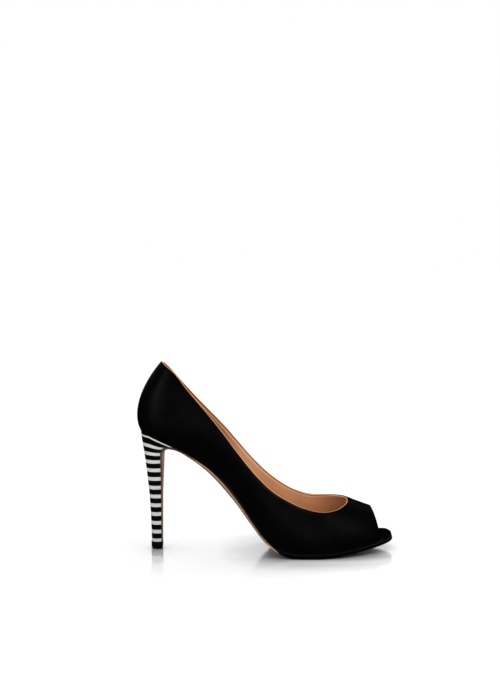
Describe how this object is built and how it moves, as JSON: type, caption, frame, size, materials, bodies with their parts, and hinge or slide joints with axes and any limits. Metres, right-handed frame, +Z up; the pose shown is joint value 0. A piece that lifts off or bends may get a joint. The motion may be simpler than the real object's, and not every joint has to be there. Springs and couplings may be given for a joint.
{
  "type": "peep-toe platform pump",
  "caption": "Right-foot pump with a low collar, open toe, hidden platform and slim high heel; black leather, tan lining and sole, heel in black and white stripes.",
  "frame": {"origin": "on the floor, under the middle of the shoe's bounding box", "axes": "+X towards the toe, +Y towards the inner side of the foot, +Z up"},
  "size_m": [0.2246, 0.0742, 0.166],
  "materials": {
    "black_leather": "smooth leather with a soft sheen",
    "tan_sock_leather": "matt lining leather",
    "black_platform_leather": "smooth leather with a soft sheen",
    "tan_sole_leather": "polished sole leather",
    "striped_heel_fabric": "ribbed fabric in black and white stripes",
    "black_top_piece": "dull moulded plastic"
  },
  "bodies": {
    "root": {"upper": "black_leather", "insole": "tan_sock_leather", "platform": "black_platform_leather", "outsole": "tan_sole_leather", "heel": "striped_heel_fabric", "top_piece": "black_top_piece"}
  },
  "joints": []
}
